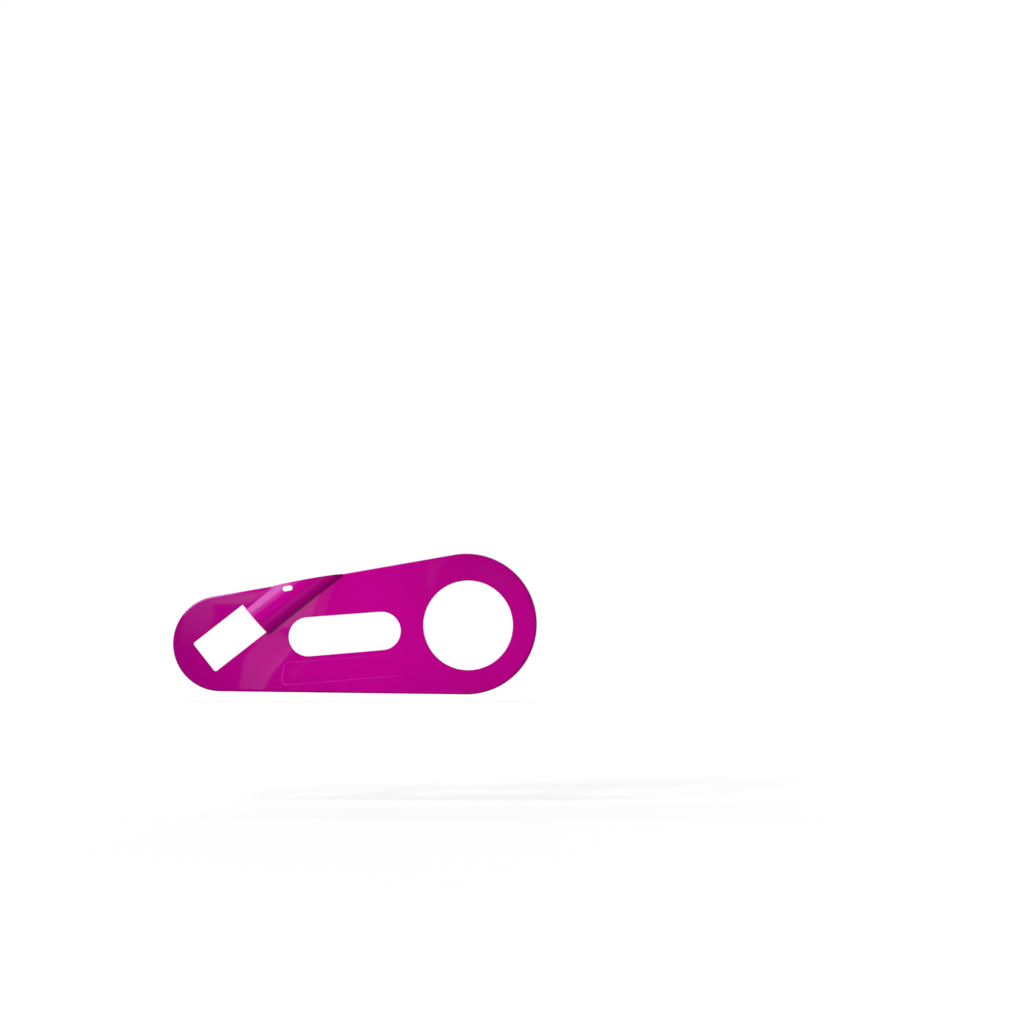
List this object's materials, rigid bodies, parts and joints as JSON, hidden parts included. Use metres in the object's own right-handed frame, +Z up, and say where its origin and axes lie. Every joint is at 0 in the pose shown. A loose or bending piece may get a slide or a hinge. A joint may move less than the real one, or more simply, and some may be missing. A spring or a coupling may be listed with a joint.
{
  "type": "bicycle chain guard",
  "caption": "Tapered flat chain guard for a child's bicycle: a moulded tray with a turned-back rim, a round crank opening, an oblong window and a half-round stay tunnel.",
  "frame": {"origin": "on the crank axis, at the guard's outer face", "axes": "+X forward along the bicycle, +Z up, and the outer face looks along -Y, away from the wheel; the guard keeps its tilt as fitted"},
  "size_m": [0.448, 0.04, 0.174],
  "materials": {
    "moulded_polypropylene": "glossy injection-moulded polypropylene, magenta through its thickness",
    "clear_film": "clear self-adhesive film, bare"
  },
  "bodies": {
    "root": {"chain_guard": "moulded_polypropylene", "clear_label": "clear_film"}
  },
  "joints": []
}
